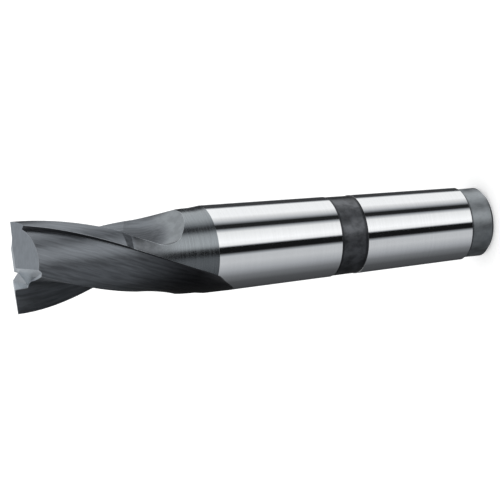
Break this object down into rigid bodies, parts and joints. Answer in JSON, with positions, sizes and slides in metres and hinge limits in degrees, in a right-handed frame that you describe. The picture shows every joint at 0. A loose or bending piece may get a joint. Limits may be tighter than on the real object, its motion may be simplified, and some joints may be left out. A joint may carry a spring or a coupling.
{
  "type": "slot drill",
  "caption": "High-speed steel slot drill with helical flutes, centre-cutting end teeth and a Morse taper 2 shank with a draw-bar thread.",
  "frame": {"origin": "centre of the rear end of the shank", "axes": "+Z along the tool's axis towards the cutting end; +Y towards the long tooth's cutting edge at the cutting end"},
  "size_m": [0.0178, 0.0182, 0.104],
  "materials": {
    "steel": "ground high-speed steel, bright on the shank's bands and dark elsewhere"
  },
  "bodies": {
    "root": {"slot_drill": "steel"}
  },
  "joints": []
}
